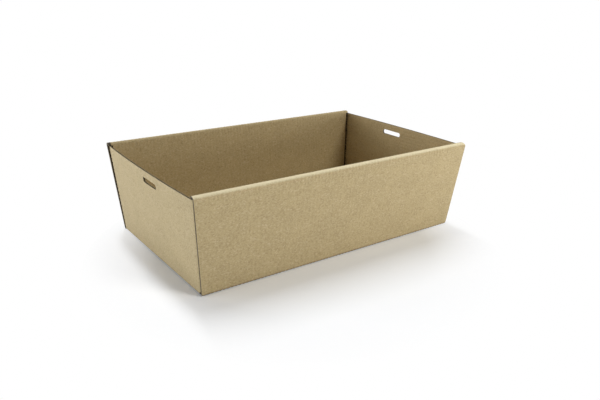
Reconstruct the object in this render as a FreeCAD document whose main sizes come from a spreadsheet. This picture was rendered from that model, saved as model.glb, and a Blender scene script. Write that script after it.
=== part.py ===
"""A small open tray box folded from one sheet of fine corrugated kraft board.

X runs along the length, Y across the width and Z up. The origin is the middle of the underside.
The long sides are double: an outer wall, a rolled rim and an inner wall that locks into the base.
The ends are single, with a hand slot each, and their tuck flaps lie between the long sides' layers.
"""

import FreeCAD, Part
import math
import os
import Sketcher

NODE = "tray"

# How a sketch counts its own origin, and the three spots of an edge.
ORIGIN = (-1, 1)
START = 1
END = 2
CENTRE = 3

# Driving sizes: millimetres and degrees.
SIZES = (
    ("base_length", 255.0, "outside length of the base"),
    ("base_width", 153.0, "outside width of the base"),
    ("tray_height", 80.0, "floor to the top of the rolled rim"),
    ("end_height", 77.0, "floor to the top edge of an end"),
    ("board", 1.6, "thickness of the board"),
    ("side_lean", 6.0, "outward lean of the long sides"),
    ("end_lean", 5.2, "outward lean of the ends"),
    ("end_bow", 1.5, "how far an end's top edge bows out at its middle"),
    ("crease_radius", 0.4, "inside radius of a crease"),
    ("layer_gap", 0.25, "play between two layers of board"),
    ("inner_end_gap", 1.7, "inner wall's side edge to the end wall"),
    ("flap_length", 58.0, "tuck flap, from the base's end to its free edge"),
    ("flap_taper", 5.0, "how far the flap's upper and lower edges close in"),
    ("flap_lift", 5.0, "floor to the flap's lower edge"),
    ("flap_drop", 1.5, "flap's upper edge below the end's top edge"),
    ("slot_length", 24.5, "hand slot along the end"),
    ("slot_height", 4.4, "hand slot up the end"),
    ("slot_corner", 2.0, "corner radius of the hand slot"),
    ("slot_drop", 6.0, "hand slot below the end's top edge"),
    ("slot_offset", 10.0, "hand slot's middle to one side of the end's middle"),
    ("tab_length", 34.0, "lock tab along the side"),
    ("tab_spacing", 130.0, "middle to middle of one side's two lock tabs"),
    ("tab_play", 0.4, "play round a lock tab in its slot"),
    ("tab_rise", 0.3, "floor to the lock tab's end"),
)

# Formulas that several panels share. The rim's roll is a half ring over three layers and two gaps.
BEND = "(sizes.crease_radius + sizes.board)"
ROLL = "(1.5 * sizes.board + sizes.layer_gap)"
SIDE_TAN = "tan(sizes.side_lean)"
SIDE_COS = "cos(sizes.side_lean)"
SIDE_SIN = "sin(sizes.side_lean)"
END_TAN = "tan(sizes.end_lean)"
END_COS = "cos(sizes.end_lean)"
END_SIN = "sin(sizes.end_lean)"
HALF_LENGTH = "sizes.base_length / 2"
HALF_WIDTH = "sizes.base_width / 2"

# Distance from a bottom edge's sharp corner to where its bend begins, on the base and up the wall.
SIDE_SETBACK = f"({BEND} * tan(45 - sizes.side_lean / 2))"
END_SETBACK = f"({BEND} * tan(45 - sizes.end_lean / 2))"

# Measured up the side's slope: where the wall ends and the rim's roll begins.
ROLL_START = f"((sizes.tray_height - {ROLL} * (1 + {SIDE_SIN})) / {SIDE_COS})"

# The ends start this high, just over the bend at their foot.
END_FOOT = f"({BEND} + 0.25 * sizes.board)"


def end_reach(height):
    """Half the tray's length at the ends' outer faces, at a height over the floor."""
    return f"({HALF_LENGTH} + ({height}) * {END_TAN})"


def flap_reach(height):
    """Half the width over the tuck flaps' outer faces, which lie one layer and one gap inside."""
    inset = f"(sizes.board + sizes.layer_gap) / {SIDE_COS}"
    return f"({HALF_WIDTH} - {inset} + ({height}) * {SIDE_TAN})"


def make_sheet(doc):
    sheet = doc.addObject("Spreadsheet::Sheet", "sizes")
    for row, (alias, value, note) in enumerate(SIZES, start=1):
        sheet.set(f"A{row}", note)
        sheet.set(f"B{row}", str(value))
        sheet.setAlias(f"B{row}", alias)
    doc.recompute()
    return sheet


def origin_plane(body, role):
    for feature in body.Origin.OriginFeatures:
        if feature.Role == role:
            return feature
    raise ValueError(f"no origin plane {role}")


def place(sketch, body, role, shift=None, turn=None):
    """Lay the sketch on an origin plane, moved by three formulas and turned about one local axis."""
    sketch.AttachmentSupport = [(origin_plane(body, role), "")]
    sketch.MapMode = "FlatFace"
    axis, angle = turn or ((0, 0, 1), None)
    rotation = FreeCAD.Rotation(FreeCAD.Vector(*axis), 1.0 if angle else 0.0)
    sketch.AttachmentOffset = FreeCAD.Placement(FreeCAD.Vector(), rotation)
    for name, formula in (shift or {}).items():
        sketch.setExpression(f"AttachmentOffset.Base.{name}", formula)
    if angle:
        sketch.setExpression("AttachmentOffset.Rotation.Angle", angle)


def pin(sketch, kind, edge, spot, formula):
    """Hold one coordinate of an edge's end or centre at a formula, from the sketch's origin."""
    point = sketch.getPoint(edge, spot)
    value = point.x if kind == "DistanceX" else point.y
    index = sketch.addConstraint(Sketcher.Constraint(kind, *ORIGIN, edge, spot, value))
    sketch.setExpression(f"Constraints[{index}]", formula)


def arc_through(start, end, centre, left_turn):
    """The arc between two points round a centre, and which of its ends is the first point."""
    first, last = (start, end) if left_turn else (end, start)
    angles = [math.atan2(p.y - centre.y, p.x - centre.x) for p in (first, last)]
    circle = Part.Circle(centre, FreeCAD.Vector(0, 0, 1), (start - centre).Length)
    return Part.ArcOfCircle(circle, *angles), START if left_turn else END


def outline(sketch, sheet, corners, arcs=None):
    """Close a loop through the corners, straight but for the edges that arcs names.

    An arc is given by its edge's number: (centre across, centre up, turns left). The centre is
    held at the coordinate that its chord runs across, and the chord's ends settle the other.
    """
    arcs = arcs or {}

    def spot(across, up):
        return FreeCAD.Vector(sheet.evalExpression(across), sheet.evalExpression(up), 0)

    spots = [spot(*corner) for corner in corners]
    edges = []
    for number, start in enumerate(spots):
        end = spots[(number + 1) % len(spots)]
        if number in arcs:
            across, up, left_turn = arcs[number]
            curve, first = arc_through(start, end, spot(across, up), left_turn)
        else:
            curve, first = Part.LineSegment(start, end), START
        edges.append((sketch.addGeometry(curve, False), first))
    for number, (edge, first) in enumerate(edges):
        following, its_first = edges[(number + 1) % len(edges)]
        last = END if first == START else START
        sketch.addConstraint(Sketcher.Constraint("Coincident", edge, last, following, its_first))
        pin(sketch, "DistanceX", edge, first, corners[number][0])
        pin(sketch, "DistanceY", edge, first, corners[number][1])
        if number in arcs:
            across, up, _ = arcs[number]
            chord = spots[(number + 1) % len(spots)] - spots[number]
            flat = abs(chord.x) >= abs(chord.y)
            pin(sketch, "DistanceY" if flat else "DistanceX", edge, CENTRE, up if flat else across)


def rounded_rectangle(sketch, sheet, half_across, half_up, radius, middle=("0", "0"), bow=None):
    """A rectangle round a middle point, its corners rounded and its upright edges maybe bowed."""
    across, up = middle
    left, right = f"{across} - {half_across}", f"{across} + {half_across}"
    low, high = f"{up} - {half_up}", f"{up} + {half_up}"
    corners = (
        (f"{left} + {radius}", low),
        (f"{right} - {radius}", low),
        (right, f"{low} + {radius}"),
        (right, f"{high} - {radius}"),
        (f"{right} - {radius}", high),
        (f"{left} + {radius}", high),
        (left, f"{high} - {radius}"),
        (left, f"{low} + {radius}"),
    )
    centres = (
        (f"{right} - {radius}", f"{low} + {radius}"),
        (f"{right} - {radius}", f"{high} - {radius}"),
        (f"{left} + {radius}", f"{high} - {radius}"),
        (f"{left} + {radius}", f"{low} + {radius}"),
    )
    arcs = {2 * number + 1: (*centre, True) for number, centre in enumerate(centres)}
    if bow:
        half_chord = f"({half_up} - {radius})"
        bow_radius = f"(({half_chord} * {half_chord} + {bow} * {bow}) / (2 * {bow}))"
        arcs[2] = (f"{right} + {bow} - {bow_radius}", up, True)
        arcs[6] = (f"{left} - {bow} + {bow_radius}", up, True)
    outline(sketch, sheet, corners, arcs)


class Tray:
    """The one body, and short calls that add a sketched feature to it."""

    def __init__(self, doc, sheet):
        self.doc = doc
        self.sheet = sheet
        self.body = doc.addObject("PartDesign::Body", NODE)
        self.body.Label = NODE

    def sketch(self, name, role, shift=None, turn=None):
        sketch = self.body.newObject("Sketcher::SketchObject", name)
        place(sketch, self.body, role, shift, turn)
        return sketch

    def feature(self, kind, name, profile, length, side="One side", backwards=False):
        """Pad or pocket a sketch by a length, on one side of its plane or half on each."""
        feature = self.body.newObject(f"PartDesign::{kind}", name)
        feature.Profile = profile
        feature.SideType = side
        feature.Reversed = backwards
        feature.setExpression("Length", length)
        self.doc.recompute()
        return feature

    def volume(self):
        return self.body.Shape.Volume

    def cut(self, name, profile, length):
        """Pocket on both sides of the sketch's plane, and make sure that it cut something."""
        before = self.volume()
        feature = self.feature("Pocket", name, profile, length, side="Symmetric")
        if self.volume() >= before:
            raise ValueError(f"{name} cuts nothing")
        return feature


def add_base(tray):
    """The flat base, between the four bends at its edges."""
    sketch = tray.sketch("base_outline", "XY_Plane")
    across = f"({HALF_LENGTH} - {END_SETBACK})"
    up = f"({HALF_WIDTH} - {SIDE_SETBACK})"
    corners = ((f"-{across}", f"-{up}"), (across, f"-{up}"), (across, up), (f"-{across}", up))
    outline(sketch, tray.sheet, corners)
    tray.feature("Pad", "base_panel", sketch, "sizes.board")


def add_end_bend(tray, side):
    """The bend at an end's foot, carried up to where the end's own panel starts."""
    name, sign, left_turn = side
    sketch = tray.sketch(f"{name}_bend_section", "XZ_Plane")
    centre = f"({HALF_LENGTH} - {END_SETBACK})"

    def x(formula):
        return f"{sign} * ({formula})"

    def on_bend(radius):
        return x(f"{centre} + {radius} * {END_COS}"), f"{BEND} - {radius} * {END_SIN}"

    inner_face = f"{end_reach(END_FOOT)} - sizes.board / {END_COS}"
    corners = (
        (x(centre), "0"),
        on_bend(BEND),
        (x(end_reach(END_FOOT)), END_FOOT),
        (x(inner_face), END_FOOT),
        on_bend("sizes.crease_radius"),
        (x(centre), "sizes.board"),
    )
    arcs = {
        0: (x(centre), BEND, left_turn),
        4: (x(centre), BEND, not left_turn),
    }
    outline(sketch, tray.sheet, corners, arcs)
    length = f"2 * ({flap_reach('0')} - {BEND})"
    tray.feature("Pad", f"{name}_bend", sketch, length, side="Symmetric")


def ring_sketch(tray, name, height, face, bow=None):
    inset_x, inset_y, radius = face
    sketch = tray.sketch(name, "XY_Plane", shift={"z": height})
    half_across = f"({end_reach(height)} - {inset_x})"
    half_up = f"({flap_reach(height)} - {inset_y})"
    rounded_rectangle(sketch, tray.sheet, half_across, half_up, radius, bow=bow)
    return sketch


def add_ends_and_flaps(tray):
    """Both ends with their tuck flaps, as one sloping ring that is then cut between the flaps.

    The ends are straight at the foot and bow outwards towards their free top edge.
    """
    outside = ("0", "0", BEND)
    inside = (
        f"sizes.board / {END_COS}",
        f"sizes.board / {SIDE_COS}",
        "sizes.crease_radius",
    )
    for kind, name, face in (("Additive", "outer", outside), ("Subtractive", "inner", inside)):
        low = ring_sketch(tray, f"ring_{name}_foot", END_FOOT, face)
        high = ring_sketch(tray, f"ring_{name}_top", "sizes.end_height", face, "sizes.end_bow")
        loft = tray.body.newObject(f"PartDesign::{kind}Loft", f"ring_{name}")
        loft.Profile = low
        loft.Sections = [high]
        loft.Ruled = True
        tray.doc.recompute()
    cut_between_flaps(tray)


def cut_between_flaps(tray):
    """Clear the ring's long sides but for the four tuck flaps, seen from the front."""
    sketch = tray.sketch("flap_outline", "XZ_Plane")
    floor = f"({END_FOOT} - 0.1 * sizes.board)"
    low = "sizes.flap_lift"
    high = "(sizes.end_height - sizes.flap_drop)"
    above = "(sizes.end_height + sizes.board)"
    free_edge = f"({HALF_LENGTH} - sizes.flap_length)"

    def corner(height):
        return f"({end_reach(height)} - {BEND})"

    right = (
        (corner(floor), floor),
        (corner(low), low),
        (free_edge, f"{low} + sizes.flap_taper"),
        (free_edge, f"{high} - sizes.flap_taper"),
        (corner(high), high),
        (corner(above), above),
    )
    left = tuple((f"-{across}", up) for across, up in reversed(right))
    outline(sketch, tray.sheet, right + left)
    tray.cut("flap_gaps", sketch, "2 * sizes.base_width")


def cut_hand_slots(tray):
    """A slot near the top of each end. Turning the tray end for end leaves it the same."""
    up = f"(sizes.end_height / {END_COS} - sizes.slot_drop - sizes.slot_height / 2)"
    for name, sign in (("right", ""), ("left", "-")):
        sketch = tray.sketch(
            f"{name}_slot_outline",
            "YZ_Plane",
            shift={"z": f"{sign}{HALF_LENGTH}"},
            turn=((1, 0, 0), f"{sign}sizes.end_lean"),
        )
        rounded_rectangle(
            sketch,
            tray.sheet,
            "sizes.slot_length / 2",
            "sizes.slot_height / 2",
            "sizes.slot_corner",
            middle=(f"{sign}sizes.slot_offset", up),
        )
        tray.cut(f"{name}_slot", sketch, "4 * sizes.board")


def tab_spans(play):
    """The two lock tabs' ends along X, opened by some play."""
    half = f"(sizes.tab_length / 2 + {play})"
    for sign in ("-", ""):
        middle = f"{sign}sizes.tab_spacing / 2"
        yield f"{middle} - {half}", f"{middle} + {half}"


def cut_lock_slots(tray):
    """Four slots through the base, where the inner walls' lock tabs come down."""
    near = f"({HALF_WIDTH} - 2 * {ROLL} / {SIDE_COS} - sizes.tab_play)"
    outer_face = f"(2 * {ROLL} - sizes.board) / {SIDE_COS}"
    far = f"({HALF_WIDTH} - {outer_face} + sizes.board * {SIDE_TAN} + sizes.tab_play)"
    sketch = tray.sketch("lock_slot_outlines", "XY_Plane")
    for start, end in tab_spans("sizes.tab_play"):
        for low, high in ((near, far), (f"-{far}", f"-{near}")):
            outline(sketch, tray.sheet, ((start, low), (end, low), (end, high), (start, high)))
    tray.cut("lock_slots", sketch, "4 * sizes.board")


def side_bend(tray):
    """The bend between the base and the front outer wall."""
    sketch = tray.sketch("side_bend_section", "YZ_Plane")
    centre = f"({SIDE_SETBACK} - {HALF_WIDTH})"

    def on_bend(radius):
        return f"{centre} - {radius} * {SIDE_COS}", f"{BEND} - {radius} * {SIDE_SIN}"

    corners = (
        (centre, "0"),
        (centre, "sizes.board"),
        on_bend("sizes.crease_radius"),
        on_bend(BEND),
    )
    arcs = {
        1: (centre, BEND, False),
        3: (centre, BEND, True),
    }
    outline(sketch, tray.sheet, corners, arcs)
    length = f"2 * {HALF_LENGTH}"
    return tray.feature("Pad", "side_bend", sketch, length, side="Symmetric")


def front_panel(tray, name, depth):
    """A sketch on the front's slope, so many millimetres in from its outer face."""
    shift = {
        "y": f"{depth} * {SIDE_SIN}",
        "z": f"{HALF_WIDTH} - {depth} * {SIDE_COS}",
    }
    return tray.sketch(name, "XZ_Plane", shift=shift, turn=((1, 0, 0), "sizes.side_lean"))


def outer_wall(tray):
    """The front outer wall, whose side edges lie flush with the ends' outer faces."""
    sketch = front_panel(tray, "outer_wall_outline", "0")
    low = end_reach(f"{SIDE_SETBACK} * {SIDE_COS}")
    high = end_reach(f"{ROLL_START} * {SIDE_COS}")
    corners = (
        (f"-{low}", SIDE_SETBACK),
        (low, SIDE_SETBACK),
        (high, ROLL_START),
        (f"-{high}", ROLL_START),
    )
    outline(sketch, tray.sheet, corners)
    return tray.feature("Pad", "outer_wall", sketch, "sizes.board", backwards=True)


def rolled_rim(tray):
    """The half ring that carries the board over from the outer wall to the inner one."""
    turn = ((0, 0, 1), "sizes.side_lean")
    sketch = tray.sketch("rim_section", "YZ_Plane", shift={"x": f"-{HALF_WIDTH}"}, turn=turn)
    corners = (
        ("0", ROLL_START),
        ("sizes.board", ROLL_START),
        (f"2 * {ROLL} - sizes.board", ROLL_START),
        (f"2 * {ROLL}", ROLL_START),
    )
    arcs = {
        1: (ROLL, ROLL_START, False),
        3: (ROLL, ROLL_START, True),
    }
    outline(sketch, tray.sheet, corners, arcs)
    length = f"2 * {end_reach(f'{ROLL_START} * {SIDE_COS}')}"
    return tray.feature("Pad", "rolled_rim", sketch, length, side="Symmetric")


def inner_wall(tray):
    """The front inner wall. Its foot stands on the base and its two tabs go down into the slots."""
    depth = f"(2 * {ROLL} - sizes.board)"
    sketch = front_panel(tray, "inner_wall_outline", depth)

    def slope(height):
        return f"((({height}) - {depth} * {SIDE_SIN}) / {SIDE_COS})"

    def reach(height):
        return f"({end_reach(height)} - sizes.board / {END_COS} - sizes.inner_end_gap)"

    foot_height = "(sizes.board + sizes.layer_gap)"
    rim_height = f"({ROLL_START} * {SIDE_COS} + {depth} * {SIDE_SIN})"
    foot = slope(foot_height)
    tip = slope("sizes.tab_rise")
    corners = [(reach(rim_height), ROLL_START), (f"-{reach(rim_height)}", ROLL_START)]
    corners.append((f"-{reach(foot_height)}", foot))
    for start, end in tab_spans("0"):
        corners.extend(((start, foot), (start, tip), (end, tip), (end, foot)))
    corners.append((reach(foot_height), foot))
    outline(sketch, tray.sheet, corners)
    return tray.feature("Pad", "inner_wall", sketch, "sizes.board", backwards=True)


def mirror_sides(tray, features):
    """Repeat the front side at the back."""
    mirrored = tray.body.newObject("PartDesign::Mirrored", "back_side")
    mirrored.Originals = features
    mirrored.MirrorPlane = (origin_plane(tray.body, "XZ_Plane"), [""])
    tray.body.Tip = mirrored
    tray.doc.recompute()


def build_tray(doc, sheet):
    tray = Tray(doc, sheet)
    add_base(tray)
    for side in (("right", "1", True), ("left", "-1", False)):
        add_end_bend(tray, side)
    add_ends_and_flaps(tray)
    cut_hand_slots(tray)
    cut_lock_slots(tray)
    mirror_sides(tray, [side_bend(tray), outer_wall(tray), rolled_rim(tray), inner_wall(tray)])
    return tray.body


def check(doc, body):
    for item in doc.Objects:
        if "Invalid" in item.State or "Error" in item.State:
            raise ValueError(f"{item.Name} failed: {item.State}")
    shape = body.Shape
    if shape.isNull() or not shape.isValid() or len(shape.Solids) != 1:
        raise ValueError("the tray isn't one valid solid")


def main():
    doc = FreeCAD.newDocument("tray_box")
    sheet = make_sheet(doc)
    body = build_tray(doc, sheet)
    doc.recompute()
    check(doc, body)
    os.makedirs("parts", exist_ok=True)
    body.Shape.exportStep(f"parts/{body.Label}.step")
    box = body.Shape.BoundBox
    print(f"{body.Label}: {box.XLength:.2f} x {box.YLength:.2f} x {box.ZLength:.2f} mm,", end=" ")
    print(f"{body.Shape.Volume / 1000:.1f} cm3")


main()
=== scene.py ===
"""The looks of a small open tray box, folded from one sheet of fine corrugated kraft board.

X runs along the length, Y across the width and Z up, in metres, with the origin in the middle of
the underside. The board is modelled as it is made: two paper liners with fluted paper between.
The flutes run across the blank, so up the long sides and level along the ends.
"""

import math

import bmesh
import bpy
from bpy.props import FloatProperty, FloatVectorProperty, PointerProperty
from mathutils import Matrix, Vector


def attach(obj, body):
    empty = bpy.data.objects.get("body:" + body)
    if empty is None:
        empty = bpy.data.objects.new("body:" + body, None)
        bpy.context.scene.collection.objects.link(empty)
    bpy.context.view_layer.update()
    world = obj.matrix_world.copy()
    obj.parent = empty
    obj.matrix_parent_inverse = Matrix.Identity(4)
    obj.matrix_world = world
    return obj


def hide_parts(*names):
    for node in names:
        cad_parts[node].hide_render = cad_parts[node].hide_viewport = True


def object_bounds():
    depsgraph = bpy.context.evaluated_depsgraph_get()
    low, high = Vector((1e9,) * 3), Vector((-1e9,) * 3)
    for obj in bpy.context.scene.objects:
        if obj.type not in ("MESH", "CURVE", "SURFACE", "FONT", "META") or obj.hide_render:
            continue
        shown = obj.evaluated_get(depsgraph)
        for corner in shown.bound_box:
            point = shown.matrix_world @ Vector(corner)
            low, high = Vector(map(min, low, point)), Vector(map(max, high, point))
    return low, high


bl_info = {
    "name": "Cardboard tray box",
    "version": (1, 0, 0),
    "blender": (4, 5, 0),
    "location": "View3D > Sidebar > Tray",
    "description": "Builds a folded corrugated tray box and its studio",
    "category": "Object",
}

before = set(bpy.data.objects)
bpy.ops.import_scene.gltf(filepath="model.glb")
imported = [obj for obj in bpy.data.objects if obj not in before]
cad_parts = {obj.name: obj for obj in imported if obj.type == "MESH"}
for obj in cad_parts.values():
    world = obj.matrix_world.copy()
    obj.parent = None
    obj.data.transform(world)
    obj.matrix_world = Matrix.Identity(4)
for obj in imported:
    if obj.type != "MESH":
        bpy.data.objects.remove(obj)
CAD_BOX = [list(corner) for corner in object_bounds()]
CAD_TOP = CAD_BOX[1][2]

BODY = "root"
NODE = "tray"
MM = 0.001
TURN = 2 * math.pi
WELD = 0.002 * MM

# Points this close to each other are one line of the grid.
LINE_GAP = 0.12 * MM

# White, and the tint that changes nothing.
PLAIN = (1.0, 1.0, 1.0)

# Which faces of the board a sheet of points can be.
OUTSIDE = "outside"
CORE = "core"
INSIDE = "inside"


def number(name, description, value, **kind):
    return FloatProperty(name=name, description=description, default=value, **kind)


def length(name, description, millimetres):
    value = millimetres * MM
    return number(name, description, value, min=0.0, subtype="DISTANCE", unit="LENGTH")


def angle(name, description, degrees):
    return number(name, description, math.radians(degrees), subtype="ANGLE", unit="ROTATION")


def share(name, description, value):
    return number(name, description, value, min=0.0, max=1.0, subtype="FACTOR")


def colour(name, description, value):
    return FloatVectorProperty(
        name=name, description=description, default=value, size=3, min=0.0, max=1.0, subtype="COLOR"
    )


def power(name, description, value):
    return number(name, description, value, min=0.0, unit="POWER")


class TraySizes(bpy.types.PropertyGroup):
    """The folded tray's own sizes."""

    base_length: length("Base length", "Outside length of the base", 255)
    base_width: length("Base width", "Outside width of the base", 153)
    tray_height: length("Tray height", "Floor to the top of the rolled rim", CAD_TOP / MM)
    end_height: length("End height", "Floor to the top edge of an end", 77)
    side_lean: angle("Side lean", "Outward lean of the long sides", 6.0)
    end_lean: angle("End lean", "Outward lean of the ends", 5.2)
    end_bow: length("End bow", "How far an end's top edge bows out at its middle", 1.66)
    end_skew: length("End skew", "How far an end's top edge is drawn in at one corner", 0.9)
    inner_end_gap: length("Inner wall gap", "Inner wall's side edge to the end wall", 2.2)
    lip_rounding: length("Lip rounding", "How far in the rim's right ends are worn down", 3.6)
    back_short: length("Back side's shortness", "Its right end to the end wall's face", 1.5)
    flap_length: length("Flap length", "Base's end to the tuck flap's free edge", 58)
    flap_taper: length("Flap taper", "How far the flap's edges close in", 5)
    flap_lift: length("Flap lift", "Floor to the flap's lower edge", 5)
    flap_drop: length("Flap drop", "Flap's upper edge below the end's top edge", 1.5)
    slot_length: length("Hand slot length", "Along the end", 24.5)
    slot_height: length("Hand slot height", "Up the end", 4.4)
    slot_corner: length("Hand slot corner", "Corner radius of the hand slot", 2)
    slot_drop: length("Hand slot drop", "Hand slot below the end's top edge", 6)
    slot_offset: length("Hand slot offset", "Hand slot's middle to one side", 10)
    tab_length: length("Lock tab length", "Along the side", 34)
    tab_spacing: length("Lock tab spacing", "Middle to middle of a side's two tabs", 130)
    tab_play: length("Lock tab play", "Round a lock tab in its slot", 0.4)
    tab_rise: length("Lock tab rise", "Floor to the lock tab's end", 0.3)


class BoardSizes(bpy.types.PropertyGroup):
    """The corrugated board that the tray is folded from."""

    board: length("Board", "Thickness of the board", 1.6)
    liner: length("Liner", "Thickness of one paper liner", 0.2)
    fluting: length("Fluting", "Thickness of the fluted paper", 0.18)
    pitch: length("Flute pitch", "Crest to crest of the flutes", 3.3)
    crease_radius: length("Crease radius", "Inside radius of a crease", 0.4)
    layer_gap: length("Layer gap", "Play between two layers of board", 0.25)
    washboard: length("Washboard", "How far the outer liner sinks between flutes", 0.045)
    inner_washboard: length("Inner washboard", "The same for the inner liner", 0.13)
    crush: length("Crush", "How far a crease across the flutes is pressed in", 0.22)


class Finish(bpy.types.PropertyGroup):
    """The colours of the paper."""

    kraft: colour("Kraft", "The liners' colour", (0.467, 0.37, 0.2))
    shade: colour("Shade", "The liners' colour in their darker clouds", (0.44, 0.347, 0.187))
    fleck: colour("Dark fleck", "Dark fibres in the liners", (0.30, 0.222, 0.105))
    bloom: colour("Pale fleck", "Pale fibres in the liners", (0.583, 0.49, 0.315))
    inner: colour("Inner tint", "The inner liner's colour, as a share of the outer's", (1.0, 0.95, 0.86))
    # The worn colour is partly stretched paper and partly a painted highlight on the rim's top.
    worn: colour("Worn rim", "The liners where the rim has stretched them", (0.86, 0.78, 0.54))
    cut: colour("Cut edge", "The liners' cut edges", (0.36, 0.31, 0.22))
    # The fluting colour is partly the paper's own grey-brown and partly painted shade of the board's
    # channels.
    flute: colour("Fluting", "The fluted paper's colour", (0.12, 0.1, 0.07))
    # The pocket colour is painted shade, for the corners' pockets, the fold at the foot and the back
    # rim's left end.
    pocket: colour("Pocket", "The paper inside the corners' pockets", (0.045, 0.036, 0.024))
    grain: share("Grain", "Strength of the flecks", 0.85)


class Studio(bpy.types.PropertyGroup):
    """The floor, the lamps and the surrounding light."""

    back: power("Back lamp", "Light from high behind, which casts the shadow", 132.0)
    left: power("Left lamp", "Low light from the left", 9.2)
    front: power("Front lamp", "Low light on the front", 1.4)
    fill: power("Fill lamp", "Soft light from high in front", 35.5)
    sky: share("Sky", "Even light from all round", 0.1)
    floor: colour("Floor", "The floor's colour", (0.915, 0.94, 0.98))
    lift: share("Floor lift", "Plain light added to the floor that the camera sees", 0.06)


class TrayScene(bpy.types.PropertyGroup):
    """All settings of the tray and its studio."""

    tray: PointerProperty(type=TraySizes, name="Tray")
    board: PointerProperty(type=BoardSizes, name="Board")
    finish: PointerProperty(type=Finish, name="Finish")
    studio: PointerProperty(type=Studio, name="Studio")


# The folded shape


# How far the end wall's first row lies above the bend, as a share of the board.
FOOT_ROW_RISE = 0.25


class Fold:
    """Where each spot of the board lies once it is folded, for the front side and the right end.

    The back side is the front one turned half way round, so its worn right end is at -1.
    """

    def __init__(self, tray, board, worn_end=1):
        self.tray = tray
        self.worn_end = worn_end
        self.board = board.board
        self.pitch = board.pitch
        self.gap = board.layer_gap
        self.bend = board.crease_radius + board.board
        self.roll = 1.5 * board.board + board.layer_gap
        self.half_length = tray.base_length / 2
        self.half_width = tray.base_width / 2
        self.side_tan = math.tan(tray.side_lean)
        self.side_cos = math.cos(tray.side_lean)
        self.end_tan = math.tan(tray.end_lean)
        self.end_cos = math.cos(tray.end_lean)
        self.side_setback = self.bend * math.tan(math.pi / 4 - tray.side_lean / 2)
        self.end_setback = self.bend * math.tan(math.pi / 4 - tray.end_lean / 2)
        self.up = Vector((0, -math.sin(tray.side_lean), self.side_cos))
        self.inward = Vector((0, self.side_cos, math.sin(tray.side_lean)))
        self.side_foot = Vector((0, -self.half_width, 0))
        rise = self.roll * (1 + math.sin(tray.side_lean))
        self.roll_start = (tray.tray_height - rise) / self.side_cos
        self.end_foot = self.bend + FOOT_ROW_RISE * board.board
        self.bow_span = tray.end_height - self.end_foot
        self.slot = HandSlot(self)

    def depth(self, face):
        """How deep in the board a face lies, from the board's outer face."""
        return {OUTSIDE: 0.0, CORE: self.board / 2, INSIDE: self.board}[face]

    def end_reach(self, height):
        """An end's outer face along X at a height, without its bow."""
        return self.half_length + height * self.end_tan

    def flap_reach(self, height):
        """A tuck flap's outer face along Y at a height."""
        inset = (self.board + self.gap) / self.side_cos
        return self.half_width - inset + height * self.side_tan

    def corner_reach(self, height, side):
        """An end's corner fold along X, at a height and a side of 1 or -1."""
        return self.end_reach(height) + self.bow(height, side) - self.bend

    def slot_reach(self):
        """Where the lock tabs' slots in the base begin along Y."""
        return self.half_width - 2 * self.roll / self.side_cos - self.tray.tab_play

    def half_chord(self, height):
        """Half an end's width between its corner folds."""
        return self.flap_reach(max(height, 0)) - self.bend

    def bow(self, height, spot):
        """How far the end stands out, at a height and a share of its half width."""
        rise = max(0.0, (height - self.end_foot) / self.bow_span)
        drawn_in = self.tray.end_skew * (0.5 - 0.5 * spot) ** 2
        return rise * (self.tray.end_bow * (1 - spot * spot) - drawn_in)


def spread(start, end, steps):
    """Evenly spaced numbers from start to end, both among them."""
    return [start + (end - start) * step / steps for step in range(steps + 1)]


def merged(lines, wanted):
    """The sorted lines with the wanted ones added and any line too close to those left out."""
    kept = [line for line in lines if all(abs(line - other) > LINE_GAP for other in wanted)]
    return sorted(kept + list(wanted))


def flute_lines(start, end, pitch, steps, wanted):
    """Lines across the flutes, so many to each flute, from start to end, and the wanted ones."""
    first = math.ceil(start * steps / pitch)
    last = math.floor(end * steps / pitch)
    lines = [number * pitch / steps for number in range(first, last + 1)]
    return merged(lines, (start, end, *wanted))


class Sheet:
    """One face of the board as grids of points: (spot, across, crease, tone).

    Beside its spot, each point has its place across the flutes, how creased it is and its tone:
    1 where the paper is pale, as wear and as a painted highlight, -1 for painted shade, as in a pocket.
    """

    def __init__(self):
        self.points = []
        self.faces = []

    def grid(self, rows, flip, keep=None):
        """Add rows of points, without the cells that keep turns down."""
        first = len(self.points)
        width = len(rows[0])
        for row in rows:
            self.points.extend(row)
        for up in range(len(rows) - 1):
            for side in range(width - 1):
                if keep and not keep(up, side):
                    continue
                corner = first + up * width + side
                face = [corner, corner + 1, corner + width + 1, corner + width]
                self.faces.append(face[::-1] if flip else face)

    def turned(self):
        """The same sheet turned half way round about the upright axis."""
        other = Sheet()
        other.points = [((-x, -y, z), *values) for (x, y, z), *values in self.points]
        other.faces = self.faces
        return other

    def join(self, other):
        """Take in the other sheet's points and faces."""
        first = len(self.points)
        self.points.extend(other.points)
        self.faces.extend([[corner + first for corner in face] for face in other.faces])

    def mesh(self, name):
        """A mesh of the sheet, with its points' values as attributes."""
        spots, *columns = zip(*self.points)
        mesh = bpy.data.meshes.new(name)
        mesh.from_pydata(spots, [], self.faces)
        for label, values in zip(("across", "crease", "tone"), columns):
            attribute = mesh.attributes.new(label, "FLOAT", "POINT")
            attribute.data.foreach_set("value", values)
        return mesh


def add_object(name, data):
    """A new object in the scene, with its mesh, lamp or camera."""
    thing = bpy.data.objects.new(name, data)
    bpy.context.collection.objects.link(thing)
    return thing


def edit(mesh, change=None):
    """Run a change on the mesh, if there is one, then weld it and drop what is left loose."""
    work = bmesh.new()
    work.from_mesh(mesh)
    if change:
        change(work)
    bmesh.ops.remove_doubles(work, verts=work.verts, dist=WELD)
    loose = [vertex for vertex in work.verts if not vertex.link_faces]
    bmesh.ops.delete(work, geom=loose, context="VERTS")
    work.to_mesh(mesh)
    work.free()


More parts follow.
